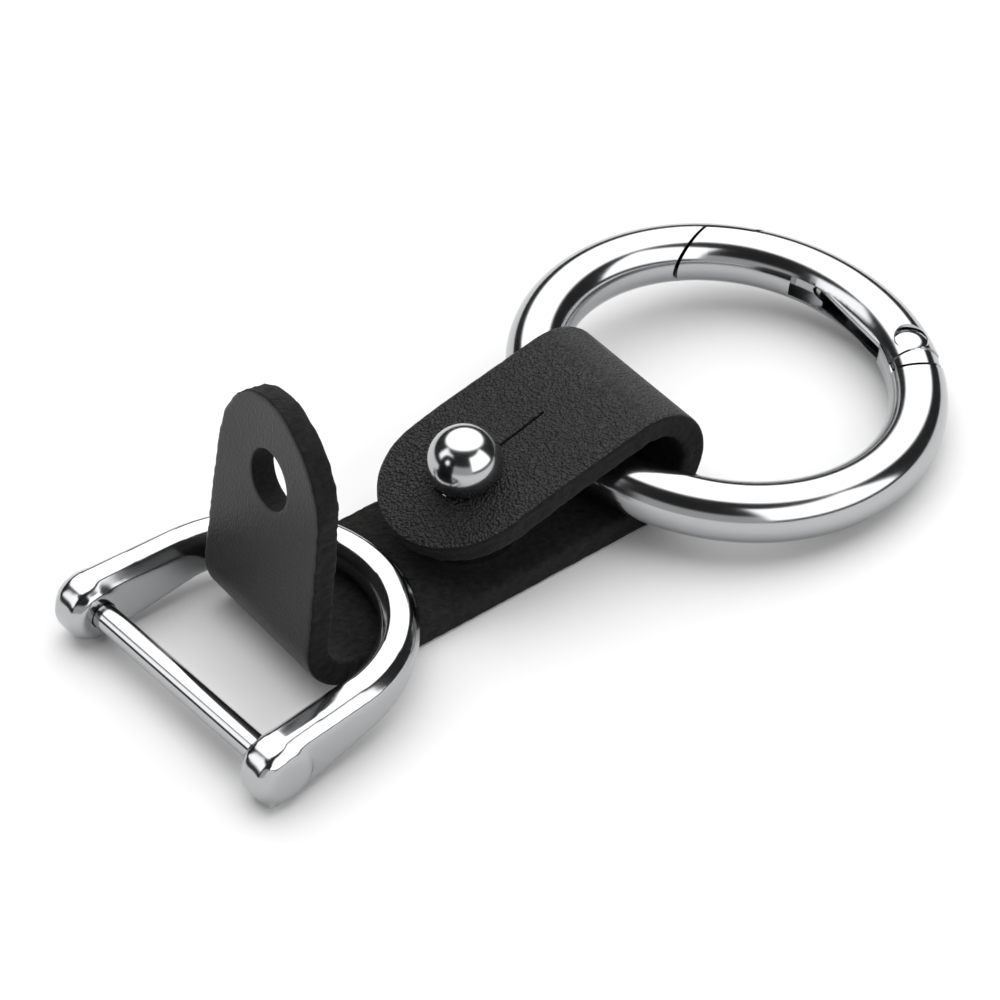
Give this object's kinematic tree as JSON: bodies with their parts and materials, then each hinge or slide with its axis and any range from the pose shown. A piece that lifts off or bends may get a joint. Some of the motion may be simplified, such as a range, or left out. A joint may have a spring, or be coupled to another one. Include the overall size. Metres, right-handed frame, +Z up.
{
  "type": "belt key clip",
  "caption": "Leather strap key clip: one end folded round a spring-gate ring and buttoned on a ball stud, the other end an open tab bent up inside a horseshoe shackle with a screwed pin.",
  "frame": {"origin": "on the flat underside of the strap, level with the ball stud and midway across the strap's width", "axes": "+X along the strap towards the spring-gate ring, +Z up through the ball stud, +Y across the strap to its far edge"},
  "size_m": [0.0777, 0.0372, 0.0246],
  "materials": {
    "leather": "grained",
    "leather_smooth": "smooth",
    "chrome": "polished",
    "steel": "satin",
    "spring_steel": "satin"
  },
  "bodies": {
    "strap_body": {"strap": "leather", "ball_stud": "chrome", "stud_screw": "steel"},
    "tab_body": {"open_tab": "leather_smooth"},
    "ring_body": {"ring_frame": "chrome"},
    "gate_body": {"ring_gate": "chrome", "gate_rivet": "steel", "gate_spring": "spring_steel"},
    "plunger_body": {"gate_plunger": "steel"},
    "shackle_body": {"shackle": "chrome"},
    "pin_body": {"shackle_pin": "chrome"}
  },
  "joints": [
    {"name": "ring_spin", "type": "hinge", "parent": "strap_body", "child": "ring_body", "pos_m": [0.02716, -0.0006, 0.00431], "axis": [0.073, -0.0837, 0.9938], "range_deg": [-180, 50]},
    {"name": "gate_hinge", "type": "hinge", "parent": "ring_body", "child": "gate_body", "pos_m": [0.0421, -0.00665, 0.00271], "axis": [0.073, -0.0837, 0.9938], "range_deg": [0, 25], "stiffness_Nm_per_rad": 0.02, "springref_deg": -28.65},
    {"name": "plunger_slide", "type": "slide", "parent": "gate_body", "child": "plunger_body", "axis": [0.0687, 0.9945, 0.0787], "range_m": [0, 0.0006], "deforming": ["gate_spring"]},
    {"name": "shackle_swing", "type": "hinge", "parent": "strap_body", "child": "shackle_body", "pos_m": [-0.00823, 0.0002, 0.00305], "axis": [-0.0698, 0.9976, 0], "range_deg": [0, 45]},
    {"name": "pin_draw", "type": "slide", "parent": "shackle_body", "child": "pin_body", "axis": [-0.0698, 0.9976, 0], "range_m": [0, 0.024]},
    {"name": "tab_bend", "type": "hinge", "parent": "strap_body", "child": "tab_body", "pos_m": [-0.0193, 0, 0.0052], "axis": [0, -1, 0], "range_deg": [-30, 10], "stiffness_Nm_per_rad": 0.004}
  ],
  "couplings": [
    {"joint": "plunger_slide", "follows": "gate_hinge", "m_per_rad": 0.0013}
  ]
}
